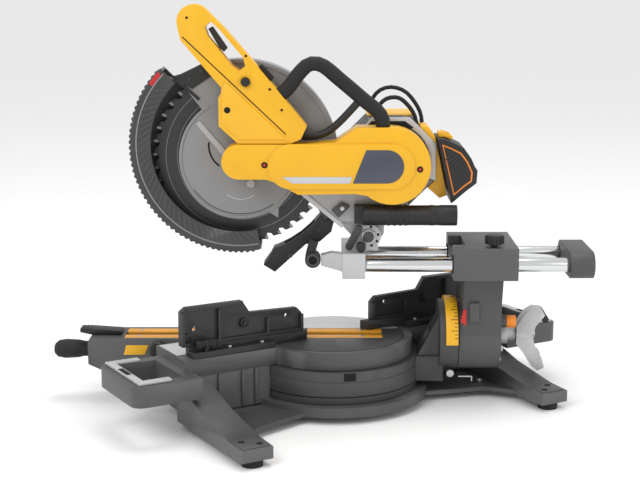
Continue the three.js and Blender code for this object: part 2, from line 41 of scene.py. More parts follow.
# Places in the arm frame, millimetres, as the frame has them.
ARBOR = (-131, 353)
GUARD = (-134, 371)
MOTOR = (79, 347)
PIVOT = (48, 243)
COVER_FACE = -69                    # outer face of the belt cover's raised stadium
GUARD_FACE = -20.6                  # near face of the upper guard
CHEEK_FACE = -25                    # near face of the lower guard's rim
CASE_FACE = -27.7                   # near face of the head casting
GRIP_FACE = -63                     # near face of the grip shells
BRACKET_FACE = -29                  # near face of the pivot bracket
COLUMN_FACE = -49                   # near face of the column slab
ARM_FACE = -34                      # near face of the turntable's front arm
SHAFT_Z = 95                        # bevel axis
RAIL_Y = 43
RAIL_Z = 205
# the dark discs are painted shade standing for holes; this is how far one stands off its face
HOLE_RISE = 0.5                     # how far a dark disc stands off its face

# ---------------------------------------------------------------- camera and light
TARGET = (-20, 0, 232)
DISTANCE = 2000
PITCH = math.radians(11)
camera = bpy.data.objects.new("camera", bpy.data.cameras.new("camera"))
bpy.context.scene.collection.objects.link(camera)
camera.data.lens = 78.75
away = Vector((0, -math.cos(PITCH), math.sin(PITCH))) * DISTANCE
camera.location = ARM @ ((Vector(TARGET) + away) * MM)
camera.rotation_euler = (ARM @ (-away)).to_track_quat("-Z", "Y").to_euler()
bpy.context.scene.camera = camera


def area_light(name, place, size, power):
    """A soft light at an arm-frame place in metres, aimed at the saw."""
    data = bpy.data.lights.new(name, "AREA")
    data.shape, data.size, data.energy = "DISK", size, power
    light = bpy.data.objects.new(name, data)
    bpy.context.scene.collection.objects.link(light)
    light.location = ARM @ Vector(place)
    aim = Vector((0, 0, 0.25)) - light.location
    light.rotation_euler = aim.to_track_quat("-Z", "Y").to_euler()


area_light("key", (-1.3, -1.8, 2.0), 1.3, 20)
area_light("fill", (1.8, -1.4, 1.0), 1.5, 6)
area_light("top", (0.2, 0.3, 2.6), 1.6, 22)
world = bpy.data.worlds.new("studio")
world.use_nodes = True
background = world.node_tree.nodes["Background"]
background.inputs[0].default_value = (1, 1, 1, 1)
background.inputs[1].default_value = 0.85
bpy.context.scene.world = world
bpy.context.scene.view_settings.view_transform = "Standard"


# ---------------------------------------------------------------- materials
def new_material(name, color, roughness, metallic):
    """A material with its nodes, links and shader, and the constant values on the shader."""
    m = bpy.data.materials.new(name)
    m.use_nodes = True
    shader = m.node_tree.nodes["Principled BSDF"]
    shader.inputs["Base Color"].default_value = (*color, 1)
    shader.inputs["Roughness"].default_value = roughness
    shader.inputs["Metallic"].default_value = metallic
    return m, m.node_tree.nodes, m.node_tree.links, shader


def mottled(nodes, links, coords, color, scale, spread):
    """Colour that drifts round its mean, with a broad and a fine noise."""
    noise = nodes.new("ShaderNodeTexNoise")
    noise.inputs["Scale"].default_value = scale
    noise.inputs["Detail"].default_value = 6
    links.new(coords, noise.inputs["Vector"])
    ramp = nodes.new("ShaderNodeValToRGB")
    ramp.color_ramp.elements[0].position = 0.3
    ramp.color_ramp.elements[1].position = 0.72
    ramp.color_ramp.elements[0].color = (*[c * (1 - spread) for c in color], 1)
    ramp.color_ramp.elements[1].color = (*[min(1, c * (1 + spread)) for c in color], 1)
    links.new(noise.outputs["Fac"], ramp.inputs["Fac"])
    return noise, ramp


def finish(name, color, roughness, metallic=0.0, grain=900, bump=0.1, spread=0.08, wear=None):
    """Moulded, painted or cast surface: mottled colour, grain in the bump, gloss that varies, worn edges."""
    m, nodes, links, shader = new_material(name, color, roughness, metallic)
    coords = nodes.new("ShaderNodeTexCoord").outputs["Object"]
    broad, ramp = mottled(nodes, links, coords, color, 22, spread)
    top = ramp.outputs["Color"]
    if wear:
        edge = nodes.new("ShaderNodeNewGeometry")
        cut = nodes.new("ShaderNodeMapRange")
        cut.inputs["From Min"].default_value = 0.52
        cut.inputs["From Max"].default_value = 0.62
        links.new(edge.outputs["Pointiness"], cut.inputs["Value"])
        mix = nodes.new("ShaderNodeMix")
        mix.data_type = "RGBA"
        mix.inputs[7].default_value = (*wear, 1)
        links.new(cut.outputs["Result"], mix.inputs[0])
        links.new(top, mix.inputs[6])
        top = mix.outputs[2]
    links.new(top, shader.inputs["Base Color"])
    gloss = nodes.new("ShaderNodeMapRange")
    gloss.inputs["To Min"].default_value = roughness - 0.06
    gloss.inputs["To Max"].default_value = min(1, roughness + 0.08)
    links.new(broad.outputs["Fac"], gloss.inputs["Value"])
    links.new(gloss.outputs["Result"], shader.inputs["Roughness"])
    fine = nodes.new("ShaderNodeTexNoise")
    fine.inputs["Scale"].default_value = grain
    fine.inputs["Detail"].default_value = 3
    links.new(coords, fine.inputs["Vector"])
    relief = nodes.new("ShaderNodeBump")
    relief.inputs["Strength"].default_value = bump
    relief.inputs["Distance"].default_value = 0.0004
    links.new(fine.outputs["Fac"], relief.inputs["Height"])
    links.new(relief.outputs["Normal"], shader.inputs["Normal"])
    return m


def turned(name, color, roughness, centre, axis, rings=2600, metallic=1.0):
    """Ground or turned metal: fine rings about an axis through centre, in row metres."""
    m, nodes, links, shader = new_material(name, color, roughness, metallic)
    coords = nodes.new("ShaderNodeTexCoord").outputs["Object"]
    shift = nodes.new("ShaderNodeVectorMath")
    shift.operation = "SUBTRACT"
    shift.inputs[1].default_value = centre
    links.new(coords, shift.inputs[0])
    across = nodes.new("ShaderNodeVectorMath")
    across.operation = "CROSS_PRODUCT"
    across.inputs[1].default_value = axis
    links.new(shift.outputs[0], across.inputs[0])
    radius = nodes.new("ShaderNodeVectorMath")
    radius.operation = "LENGTH"
    links.new(across.outputs[0], radius.inputs[0])
    noise = nodes.new("ShaderNodeTexNoise")
    noise.noise_dimensions = "1D"
    noise.inputs["Scale"].default_value = rings
    noise.inputs["Detail"].default_value = 4
    links.new(radius.outputs["Value"], noise.inputs["W"])
    ramp = nodes.new("ShaderNodeValToRGB")
    ramp.color_ramp.elements[0].color = (*[c * 0.72 for c in color], 1)
    ramp.color_ramp.elements[1].color = (*[min(1, c * 1.2) for c in color], 1)
    links.new(noise.outputs["Fac"], ramp.inputs["Fac"])
    links.new(ramp.outputs["Color"], shader.inputs["Base Color"])
    gloss = nodes.new("ShaderNodeMapRange")
    gloss.inputs["To Min"].default_value = roughness - 0.08
    gloss.inputs["To Max"].default_value = roughness + 0.12
    links.new(noise.outputs["Fac"], gloss.inputs["Value"])
    links.new(gloss.outputs["Result"], shader.inputs["Roughness"])
    return m


def arm_point(x, y, z):
    """An arm-frame place in millimetres, as row metres."""
    return ARM @ (Vector((x, y, z)) * MM)


def grey(value):
    """A nearly neutral grey, a little cool."""
    return value, round(value * 1.01, 4), round(value * 1.03, 4)


ARM_X = ARM.to_3x3() @ Vector((1, 0, 0))
ARM_Y = ARM.to_3x3() @ Vector((0, 1, 0))
LOOK = {
    "yellow": finish("yellow_shell", (0.78, 0.41, 0.004), 0.42, grain=1400, bump=0.14, spread=0.04,
                     wear=(0.86, 0.46, 0.03)),
    "black": finish("black_plastic", grey(0.008), 0.5, grain=1300, bump=0.25, spread=0.2),
    "soft_grip": finish("soft_grip", grey(0.007), 0.72, grain=700, bump=0.5, spread=0.2),
    # near-black painted shade for holes, pockets, slots, vents, notches and windows; also the dark seam and
    # groove lines
    "painted_shade_and_seams": finish("painted_shade_and_seams", grey(0.004), 0.9, grain=700, bump=0.1, spread=0.2),
    "dark_cast": finish("dark_cast", grey(0.042), 0.5, 0.0, 520, 0.35, 0.12, (0.09,) * 3),
    "base_cast": finish("base_cast", grey(0.056), 0.48, 0.0, 520, 0.35, 0.12, (0.1,) * 3),
    "fence_cast": finish("fence_cast", grey(0.015), 0.46, 0.0, 520, 0.3, 0.16, (0.035, 0.035, 0.036)),
    "grey_cast": finish("grey_cast", grey(0.055), 0.48, 0.0, 520, 0.35, 0.1, (0.11,) * 3),
    "light_cast": finish("light_cast", grey(0.45), 0.4, 0.3, 480, 0.35, 0.1, (0.55,) * 3),
    "head_cast": finish("head_cast", grey(0.36), 0.42, 0.3, 480, 0.35, 0.1, (0.4,) * 3),
    "guard_grey": finish("guard_grey", grey(0.22), 0.4, 0.0, 900, 0.15, 0.06, (0.27,) * 3),
    "guard_light": finish("guard_light", grey(0.36), 0.4, 0.0, 900, 0.15, 0.06, (0.4,) * 3),
    "lower_grey": finish("lower_grey", grey(0.038), 0.4, 0.0, 900, 0.15, 0.1, (0.1,) * 3),
    "rim_dark": finish("rim_dark", grey(0.01), 0.4, 0.0, 900, 0.15, 0.1, (0.06,) * 3),
    "motor_grey": finish("motor_grey", grey(0.14), 0.5, 0.0, 900, 0.2, 0.08, (0.22,) * 3),
    "orange": finish("orange_part", (0.75, 0.22, 0.012), 0.45, grain=1000, bump=0.15),
    "kerf": finish("kerf_plate", (0.74, 0.33, 0.02), 0.45, grain=1000, bump=0.15),
    "red": finish("red_mark", (0.5, 0.015, 0.012), 0.4, grain=1000, bump=0.1),
    "panel": finish("panel_blue", (0.058, 0.065, 0.09), 0.34, grain=1500, bump=0.08, spread=0.1),
    "pale": finish("pale_print", (0.52, 0.53, 0.55), 0.45, grain=1500, bump=0.05, spread=0.05),
    "rubber": finish("rubber", (0.01,) * 3, 0.8, grain=500, bump=0.5, spread=0.2),
    "steel": turned("steel", (0.5, 0.51, 0.52), 0.3, arm_point(PIVOT[0], 0, PIVOT[1]), ARM_Y),
    "blade": turned("blade_steel", (0.05, 0.0505, 0.052), 0.36, arm_point(ARBOR[0], 0, ARBOR[1]), ARM_Y, 1500,
                    0.6),
    "carbide": turned("carbide", (0.24, 0.24, 0.25), 0.35, arm_point(ARBOR[0], 0, ARBOR[1]), ARM_Y),
    "chrome": turned("chrome", (0.72, 0.73, 0.74), 0.16, arm_point(0, -RAIL_Y, RAIL_Z), ARM_X, 900),
    "table": turned("table_face", (0.62, 0.625, 0.63), 0.36, (0, 0, 0), (0, 0, 1), 1100, 0.6),
}

NODE_LOOKS = {
    "base_cast": ["base_casting"],
    "dark_cast": ["rail_end_cap", "turntable"],
    "fence_cast": ["fixed_fence_right", "fixed_fence_left", "sliding_fence_right", "sliding_fence_left"],
    "grey_cast": ["column_casting"],
    "head_cast": ["head_casting"],
    "light_cast": ["front_block", "bevel_lock_lever", "bevel_shaft", "loop_plate_right", "loop_plate_left"],
    "table": ["miter_scale"],
    "guard_grey": ["upper_guard"],
    "lower_grey": ["lower_guard"],
    "motor_grey": ["motor_housing"],
    "yellow": ["belt_cover", "grip_shell_right", "grip_shell_left", "battery_mount", "battery_release",
               "motor_end_cap", "bevel_scale"],
    "black": ["miter_detent_lever", "miter_lock_knob", "fence_knob_right", "fence_knob_left",
              "rail_lock_knob", "trench_stop", "front_shroud", "trigger", "lock_off_button", "wiring_conduit",
              "dust_chute", "dust_duct", "battery_pack", "lock_down_pin"],
    "soft_grip": ["miter_grip", "carry_handle"],
    "kerf": ["kerf_plate_right", "kerf_plate_left"],
    "orange": ["bevel_stop_knob"],
    "steel": ["pivot_pin", "arbor_shaft", "arbor_bolt", "arbor_pulley", "motor_pulley", "motor_rotor",
              "motor_stator", "arbor_bearing"],
    "blade": ["saw_blade"],
    "chrome": ["rail_left", "rail_right"],
    "rubber": ["foot_rear_right", "foot_rear_left", "drive_belt", "motor_cable_front", "motor_cable_rear"],
}


# ---------------------------------------------------------------- smooth, rounded CAD nodes
def smooth_group():
    """Geometry nodes that shade smooth and keep edges sharper than 35 degrees."""
    group = bpy.data.node_groups.new("smooth_by_angle", "GeometryNodeTree")
    group.interface.new_socket("Geometry", in_out="INPUT", socket_type="NodeSocketGeometry")
    group.interface.new_socket("Geometry", in_out="OUTPUT", socket_type="NodeSocketGeometry")
    start, end = group.nodes.new("NodeGroupInput"), group.nodes.new("NodeGroupOutput")
    angle = group.nodes.new("GeometryNodeInputMeshEdgeAngle")
    soft = group.nodes.new("FunctionNodeCompare")
    soft.operation = "LESS_THAN"
    soft.inputs[1].default_value = math.radians(35)
    edges, faces = (group.nodes.new("GeometryNodeSetShadeSmooth") for _ in range(2))
    edges.domain = "EDGE"
    link = group.links.new
    link(angle.outputs["Unsigned Angle"], soft.inputs[0])
    link(start.outputs[0], edges.inputs["Geometry"])
    link(soft.outputs[0], edges.inputs["Shade Smooth"])
    link(edges.outputs[0], faces.inputs["Geometry"])
    link(faces.outputs[0], end.inputs[0])
    return group


SMOOTH = smooth_group()


def rounded(obj, width=0.8, segments=2, weld=False):
    """Rounded edges and smooth shading; weld joins doubled corners first."""
    if weld:
        obj.modifiers.new("weld", "WELD").merge_threshold = 0.00001
    if width:
        bevel = obj.modifiers.new("edges", "BEVEL")
        bevel.width, bevel.segments = width * MM, segments
        bevel.limit_method, bevel.angle_limit = "ANGLE", math.radians(40)
        bevel.use_clamp_overlap = True
    obj.modifiers.new("smooth", "NODES").node_group = SMOOTH


EDGE_MM = {
    "belt_cover": 3, "grip_shell_right": 3.2, "grip_shell_left": 3.2, "battery_pack": 3.5,
    "front_block": 2.5, "column_casting": 3.5, "base_casting": 2.5, "rail_end_cap": 3,
    "saw_blade": 0.15, "miter_grip": 0, "turntable": 1.2, "upper_guard": 1, "bevel_lock_lever": 3,
    "motor_housing": 2.2, "dust_chute": 2, "drive_belt": 0, "miter_scale": 0.2, "battery_mount": 2,
}


def carried_nodes():
    """The frame's own solids, in their finishes."""
    for look, names in NODE_LOOKS.items():
        for name in names:
            obj = bpy.data.objects[name]
            obj.data.materials.clear()
            obj.data.materials.append(LOOK[look])
            rounded(obj, EDGE_MM.get(name, 0.8), 2, True)


carried_nodes()


# ---------------------------------------------------------------- building fine pieces, millimetres
def polar(u, v, radius, degrees):
    """The place at an angle and a radius about a centre."""
    return u + radius * math.cos(math.radians(degrees)), v + radius * math.sin(math.radians(degrees))


def prism(bm, points, low, high, plane="XZ"):
    """An outline pushed between two levels: XZ along y, XY along z, YZ along x."""
    order = {
        "XZ": lambda u, v, w: (u, w, v),
        "XY": lambda u, v, w: (u, v, w),
        "YZ": lambda u, v, w: (w, u, v),
    }[plane]
    rings = [[bm.verts.new(order(u, v, w)) for u, v in points] for w in (low, high)]
    count = len(points)
    bm.faces.new(rings[0])
    bm.faces.new(list(reversed(rings[1])))
    for i in range(count):
        j = (i + 1) % count
        bm.faces.new((rings[0][j], rings[0][i], rings[1][i], rings[1][j]))


def circle(cx, cy, r, count=24, start=0.0, sweep=360.0):
    """The points of a circle or an arc."""
    steps = count if sweep >= 360 else count - 1
    return [polar(cx, cy, r, start + sweep * i / steps) for i in range(count)]


def band(cx, cy, inner, outer, start, sweep, count=24):
    """The outline between two arcs about one centre."""
    return circle(cx, cy, outer, count, start, sweep) + circle(cx, cy, inner, count, start, sweep)[::-1]


def block(bm, x0, x1, y0, y1, z0, z1):
    """A plain block, to which make() gives its rounded edges."""
    prism(bm, [(x0, y0), (x1, y0), (x1, y1), (x0, y1)], z0, z1, "XY")


def stadium(a, b, r, count=10):
    """Outline of a slot of half width r from a to b."""
    turn = math.degrees(math.atan2(b[1] - a[1], b[0] - a[0]))
    return circle(*a, r, count, turn + 90, 180) + circle(*b, r, count, turn - 90, 180)


def make(name, body, look, build, edge=0.4, place=ARM, segments=2):
    """One piece: build(bm) fills it in millimetres; it gets soft edges, a finish and a body to ride on."""
    bm = bmesh.new()
    build(bm)
    bmesh.ops.recalc_face_normals(bm, faces=bm.faces)
    mesh = bpy.data.meshes.new(name)
    bm.to_mesh(mesh)
    bm.free()
    mesh.transform(place @ Matrix.Scale(MM, 4))
    mesh.materials.append(LOOK[look])
    obj = bpy.data.objects.new(name, mesh)
    bpy.context.scene.collection.objects.link(obj)
    rounded(obj, edge, segments)
    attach(obj, body)
    return obj


def screws(name, body, places, face, r=4.5, side=-1, look="steel"):
    """Pan-head screws on a face at y = face, each with a star recess."""
    def build(bm):
        for x, z in places:
            star = [(x + (r * 0.52 if i % 2 else r * 0.34) * math.cos(i * math.pi / 6),
                     z + (r * 0.52 if i % 2 else r * 0.34) * math.sin(i * math.pi / 6)) for i in range(12)]
            prism(bm, circle(x, z, r, 20), face, face + side * 1.6)
            prism(bm, star, face + side * 1.6, face + side * 1.75)
    return make(name, body, look, build, 0.35)


def holes(name, body, places, face, r=3, side=-1, look="painted_shade_and_seams"):
    """Dark discs of painted shade on a face at y = face, thin enough to read as holes."""
    make(f"{name}_lips", body, look, lambda bm: [
        prism(bm, circle(x, z, r, 20), face, face + side * HOLE_RISE) for x, z in places], 0.15)


# ---------------------------------------------------------------- head: cover, grip, motor, battery
def cover_details():
    end = circle(72, 347, 23, 16, -90, 180)
    make("cover_panel", "head", "panel", lambda bm: prism(
        bm, [(25, 324)] + end + [(43, 370)], COVER_FACE, COVER_FACE - 0.8), 0.3)
    strip = [(-72, 333), (24, 333), (21, 324), (-58, 324)]
    make("cover_strip", "head", "pale", lambda bm: prism(bm, strip, COVER_FACE, COVER_FACE - 0.7), 0.3)
    holes("cover_holes", "head", [(-96, 349), (117, 343)], -66, 4.4)
    make("cover_screws", "head", "red", lambda bm: [
        prism(bm, circle(x, z, 2.2, 6), -66.4, -66.9) for x, z in ((-96, 349), (117, 343))], 0.1)


def grip_details():
    seam = [(-206, 522), (-205, 523.2), (-66, 391.4), (-67, 390.2)]
    make("grip_seam", "head", "painted_shade_and_seams", lambda bm: prism(bm, seam, GRIP_FACE, GRIP_FACE - 0.15), 0)
    block_face = [(-154, 452), (-152, 404), (-130, 384), (-66, 384), (-148, 462)]
    make("grip_block_face", "head", "yellow", lambda bm: prism(
        bm, block_face, GRIP_FACE, GRIP_FACE - 2.4), 1.2)
    holes("grip_holes", "head", [(-199, 548), (-120, 497), (-88, 452), (-72, 424)], GRIP_FACE, 1.8)
    holes("grip_pocket", "head", [(-146, 424)], GRIP_FACE - 2.3, 4.4)
    make("grip_rear_pads", "head", "soft_grip", lambda bm: [
        prism(bm, [(x, z), (x + 5, z + 5), (x + 22, z - 14), (x + 17, z - 19)], GRIP_FACE + 8, GRIP_FACE + 20)
        for x, z in ((-104, 481),)], 1.2)


def motor_details():
    def slots(bm):
        for i in range(7):
            x = MOTOR[0] - 27 + 9 * i
            block(bm, x - 2, x + 2, 20, 70, 408.6, 409.9)
    make("motor_vents_top", "head", "black", slots, 0.3)
    make("motor_top_cover", "head", "yellow", lambda bm: block(bm, 46, 112, 6, 84, 408.8, 411.6), 1.6)

    def side_ribs(bm):
        for angle in (45, 90, 135):
            for y in range(-8, 90, 12):
                a = math.radians(angle)
                cx, cz = MOTOR[0] + 62 * math.cos(a), MOTOR[1] + 62 * math.sin(a)
                tx, tz = -math.sin(a) * 18, math.cos(a) * 18
                nx, nz = math.cos(a) * 1.2, math.sin(a) * 1.2
                prism(bm, [(cx - tx, cz - tz), (cx + tx, cz + tz), (cx + tx + nx, cz + tz + nz),
                           (cx - tx + nx, cz - tz + nz)], y, y + 3)
    make("motor_ribs", "head", "motor_grey", side_ribs, 0.4)
    make("motor_front_ring", "head", "light_cast", lambda bm: prism(
        bm, circle(*MOTOR, 68, 8, -22.5, 315)[:8] + circle(*MOTOR, 55, 30, -22.5, 315)[::-1], -26, -20.8), 1)
    # the front vent is a flat dark patch: painted shade for the vent opening
    make("motor_front_vent", "head", "painted_shade_and_seams", lambda bm: prism(
        bm, [(44, 398), (52, 405), (98, 405), (110, 396), (98, 390), (60, 390)], -26.6, -25.6), 0.3)
    corners = [polar(*MOTOR, 56, 22.5 + 45 * i) for i in range(8)]
    screws("motor_screws", "head", corners, 96, 3.6, 1)
    make("motor_grille", "head", "black", lambda bm: [
        prism(bm, band(*MOTOR, r, r + 3, 0, 350, 30), 96, 97.2) for r in (14, 22)], 0.3)


def battery_details():
    face = -38
    outline = [(149, 374), (162, 369), (176, 362), (185, 350), (192, 335), (191, 322), (181, 315), (166, 302)]
    inner = [(151, 371.5), (162, 367), (174.5, 360.5), (183, 349), (189.6, 335), (188.8, 323.4), (180, 317),
             (167, 305.5)]
    for side, y in (("right", -1), ("left", 1)):
        make(f"battery_edge_{side}", "battery", "orange",
             lambda bm, y=y: prism(bm, outline, y * -face, y * (-face + 0.5)), 0.2)
        make(f"battery_side_{side}", "battery", "black",
             lambda bm, y=y: prism(bm, inner, y * (-face + 0.4), y * (-face + 1.6)), 0.6)

    def ribs(bm):
        for i in range(7):
            y = -27 + 9 * i
            prism(bm, [(184, 355), (186.5, 355), (200, 336), (199, 318), (196, 318), (196, 335)], y, y + 3)
    make("battery_ribs", "battery", "black", ribs, 0.4)
    make("battery_slats", "battery", "rim_dark", lambda bm: [
        prism(bm, [(152 + 4 * i, 352 - 3 * i), (154 + 4 * i, 352 - 3 * i), (166 + 4 * i, 362 - 3 * i),
                   (164 + 4 * i, 362 - 3 * i)], face - 1.4, face - 2.4) for i in range(4)], 0.2)
    make("release_ribs", "battery_latch", "yellow", lambda bm: [
        block(bm, 151 + 3 * i, 152.4 + 3 * i, -11, 11, 384, 389.2 - 0.9 * i) for i in range(4)], 0.2)


# ---------------------------------------------------------------- head: guards, blade, casting, dust
def guard_details():
    ax, az = ARBOR
    flat = GUARD_FACE - 1.8
    make("guard_disc_rim", "head", "guard_grey", lambda bm: prism(
        bm, band(ax, az, 82, 86, 120, 238, 64), GUARD_FACE, GUARD_FACE - 1.2), 0.5)
    make("guard_disc_line", "head", "painted_shade_and_seams", lambda bm: prism(
        bm, band(ax, az, 79, 79.8, 215, 90, 40), GUARD_FACE, GUARD_FACE - 0.3), 0)
    make("guard_boss", "head", "guard_light", lambda bm: prism(
        bm, circle(ax, az, 17, 30), GUARD_FACE, flat), 0.8)
    holes("guard_boss_holes", "head", [(ax, az + 5.4), (ax, az - 4.6)], flat, 3.4)
    rib = [(-193, 401), (-187, 405), (-142, 353), (-148, 347)]
    make("upper_guard_rib", "head", "guard_light", lambda bm: prism(bm, rib, GUARD_FACE, GUARD_FACE - 2), 0.8)
    # the guard slot is a thin dark arc: painted shade for the slot
    make("guard_slot", "head", "painted_shade_and_seams", lambda bm: prism(
        bm, band(-140, 370, 34, 36.4, 172, 62, 16), GUARD_FACE, GUARD_FACE - 0.4), 0.1)
    make("guard_roller", "head", "guard_light", lambda bm: prism(
        bm, circle(-117, 317, 6, 20), GUARD_FACE, GUARD_FACE - 3), 0.6)
    make("guard_spring", "head", "pale", lambda bm: prism(
        bm, band(-131, 325, 30, 31, 230, 78, 20), GUARD_FACE, GUARD_FACE - 0.8), 0.2)
    holes("guard_holes", "head", [(-139, 421)], GUARD_FACE, 4)
    make("upper_guard_flange", "head", "guard_grey", lambda bm: prism(
        bm, band(ax, az, 131, 137.3, -18, 120, 60), GUARD_FACE, flat), 0.7)
    shroud = [(-226, 466), (-214, 459), (-197, 449), (-170, 467), (-148, 470), (-146, 479), (-170, 487),
              (-181, 485), (-212, 470)]
    make("shroud_strip", "head", "black", lambda bm: prism(bm, shroud, GUARD_FACE, GUARD_FACE - 2), 0.6)
    make("shroud_edge", "head", "black", lambda bm: prism(
        bm, [(-226, 466), (-222, 468), (-186, 436), (-189, 433)], GUARD_FACE, GUARD_FACE - 2), 0.5)
    shroud_holes = [(-200, 463), (-184, 474), (-166, 476)]
    screws("shroud_screws", "head", shroud_holes, GUARD_FACE - 1.2, 3, -1, "rim_dark")


def lower_guard_details():
    gx, gz = GUARD

    def rays(bm):
        for i in range(34):
            a, b = math.radians(141 + 4.1 * i), math.radians(147 + 4.1 * i)
            p = (gx + 123.5 * math.cos(a), gz + 123.5 * math.sin(a))
            q = (gx + 140 * math.cos(b), gz + 140 * math.sin(b))
            nx, nz = -math.sin(a) * 1.3, math.cos(a) * 1.3
            prism(bm, [(p[0] - nx, p[1] - nz), (q[0] - nx, q[1] - nz), (q[0] + nx, q[1] + nz),
                       (p[0] + nx, p[1] + nz)], CHEEK_FACE + 0.2, CHEEK_FACE - 0.5)
    make("lower_guard_rays", "guard", "rim_dark", rays, 0)
    make("lower_guard_lip", "guard", "guard_grey", lambda bm: prism(
        bm, band(gx, gz, 141.2, 143, 136, 145, 70), CHEEK_FACE + 0.2, CHEEK_FACE - 0.6), 0.3)

    def bumps(bm):
        for i in range(46):
            a = math.radians(138 + 3.1 * i)
            prism(bm, circle(gx + 149.4 * math.cos(a), gz + 149.4 * math.sin(a), 3.3, 8), -24.6, 23.6)
    make("lower_guard_bumps", "guard", "rim_dark", bumps, 0)
    make("lower_guard_mark", "guard", "red", lambda bm: prism(
        bm, band(gx, gz, 143.4, 149.5, 137, 8, 8), CHEEK_FACE, CHEEK_FACE - 0.6), 0.2)


def blade_details():
    ax, az = ARBOR

    def tips(bm):
        for i in range(40):
            a, b = math.radians(i * 9 + 7.0), math.radians(i * 9 + 8.6)
            prism(bm, [(ax + r * math.cos(t), az + r * math.sin(t)) for r, t in
                       ((119, a), (124.4, a), (125.4, b), (119, b))], -1.7, 1.7)
    make("blade_tips", "blade", "carbide", tips, 0)
    make("blade_ring_marks", "blade", "carbide", lambda bm: [
        prism(bm, band(ax, az, r, r + 0.7, 0, 359, 72), -1.25, -1.45) for r in (90, 106)], 0)


def casting_details():
    px, pz = PIVOT
    make("pivot_bolt_head", "carriage", "dark_cast", lambda bm: prism(
        bm, circle(px, pz, 8, 20), -33, -36.5), 0.8)
    bracket_holes = [polar(px, pz, 14, a) for a in (-70, -30, 10, 75)]
    holes("bracket_holes", "carriage", bracket_holes, BRACKET_FACE, 1.9)
    make("pivot_lever", "carriage", "dark_cast", lambda bm: prism(
        bm, stadium((34, 254), (21, 229), 5.5), BRACKET_FACE - 1, BRACKET_FACE - 5), 1)
    make("casting_edge", "head", "light_cast", lambda bm: prism(
        bm, [(-44, 309), (-40, 305), (14, 259), (10, 255), (-46, 301)], CASE_FACE, CASE_FACE - 2), 0.6)
    holes("casting_holes", "head", [(43, 281), (52, 273), (64, 262), (66, 284)], CASE_FACE, 2.6)
    make("chop_stop_bracket", "head", "dark_cast", lambda bm: prism(
        bm, [(-4, 280), (10, 292), (22, 286), (6, 270)], CASE_FACE, CASE_FACE - 7), 1)
    make("chop_stop_bolt", "head", "steel", lambda bm: prism(bm, circle(11, 284, 3.4, 6), CASE_FACE - 6,
                                                             CASE_FACE - 11), 0.4)
    screws("chute_screws", "head", [(-22, 250), (-62, 214)], GUARD_FACE, 3.4, -1, "rim_dark")
    make("chute_rib", "head", "rim_dark", lambda bm: prism(
        bm, [(-34, 300), (-27, 304), (-6, 270), (-14, 266)], GUARD_FACE, GUARD_FACE - 3), 0.8)
    make("duct_collar", "head", "black", lambda bm: [
        prism(bm, band(-46, 276, 13.6, 14.8, 0, 356, 32), x, x + 3, "YZ") for x in (74, 82, 90, 98)], 0.3)


# ---------------------------------------------------------------- slide and column
def slide_details():
    def rings(bm):
        for y in (-RAIL_Y, RAIL_Y):
            prism(bm, band(y, RAIL_Z, 10.7, 14, 0, 356, 30), 164.8, 166.2, "YZ")
            prism(bm, band(y, RAIL_Z, 10.7, 14, 0, 356, 30), 255.8, 257.2, "YZ")
    make("bush_wipers", "column", "rubber", rings, 0.4)
    make("housing_band", "column", "grey_cast", lambda bm: block(bm, 169, 253, -65.2, -63.5, 192, 226), 1.2)

    def knob_ribs(bm):
        for i in range(12):
            a = math.radians(30 * i + 15)
            prism(bm, circle(223 + 12 * math.cos(a), -50 + 12 * math.sin(a), 1.8, 8), 237, 248, "XY")
    make("rail_knob_ribs", "rail_knob", "black", knob_ribs, 0.3)
    make("stop_eye_ring", "depth_stop", "dark_cast", lambda bm: prism(
        bm, band(-30, 215, 6, 9, 0, 356, 28), -61, -62.6), 0.4)
    # the eye's hole is a thin dark disc: painted shade
    make("stop_eye_hole", "depth_stop", "painted_shade_and_seams", lambda bm: prism(
        bm, circle(-30, 215, 5.8), -61, -61.4), 0.1)


def column_details():
    make("bevel_pointer", "column", "red", lambda bm: prism(
        bm, [(178, 124), (186, 118), (186, 142), (182, 142)], COLUMN_FACE - 1.5, COLUMN_FACE + 3), 0.4)
    make("column_boss", "column", "dark_cast", lambda bm: block(
        bm, 190, 204, COLUMN_FACE - 5, COLUMN_FACE + 1, 124, 152), 1.2)
    make("column_rear_bolts", "column", "steel", lambda bm: [
        prism(bm, circle(*polar(0, SHAFT_Z, 38, a), 5, 6), 235.8, 240, "YZ")
        for a in (200, 250, 290, 340, 30, 75)], 0.5)
    make("column_web", "column", "dark_cast", lambda bm: [
        prism(bm, [(y, 132), (y + 3, 132), (y + 3, 186), (y, 186)], 235, 238, "YZ") for y in (-14, 11)], 0.5)

    def ticks(bm):
        for i in range(27):
            a = math.radians(28 + 5.6 * i)
            long = 9 if i % 3 == 0 else 4.5
            y, z = 55.1 * math.cos(a), SHAFT_Z + 55.1 * math.sin(a)
            ny, nz = math.cos(a), math.sin(a)
            ty, tz = math.sin(a) * 0.35, math.cos(a) * 0.35
            prism(bm, [(y + ty, z - tz), (y - ty, z + tz), (y + ny * 0.5 - ty, z + tz + nz * 0.5),
                       (y + ny * 0.5 + ty, z - tz + nz * 0.5)], 174.5 - long, 174.6, "YZ")
    make("bevel_scale_ticks", "table", "black", ticks, 0)
    make("lever_cap", "bevel_lever", "steel", lambda bm: prism(
        bm, circle(0, SHAFT_Z, 7, 6), 276, 290, "YZ"), 0.5)
    make("lever_grip", "bevel_lever", "black", lambda bm: prism(
        bm, stadium((297, 128), (304, 117), 5), -10, 10), 1)
    make("lever_teeth", "bevel_lever", "light_cast", lambda bm: [
        prism(bm, stadium((291 + 2 * i, 66 - 6 * i), (296 + 2 * i, 68 - 6 * i), 1.2, 6), -13.8, 13.8)
        for i in range(4)], 0.3)
    make("neck_bolt", "table", "steel", lambda bm: prism(bm, circle(166, 44, 5.5, 24), -31, -34), 0.8)
    make("neck_bracket", "table", "steel", lambda bm: [
        block(bm, 178, 198, -31.4, -29.6, 38, 40), block(bm, 196.4, 198, -31.4, -29.6, 32, 40)], 0.3)


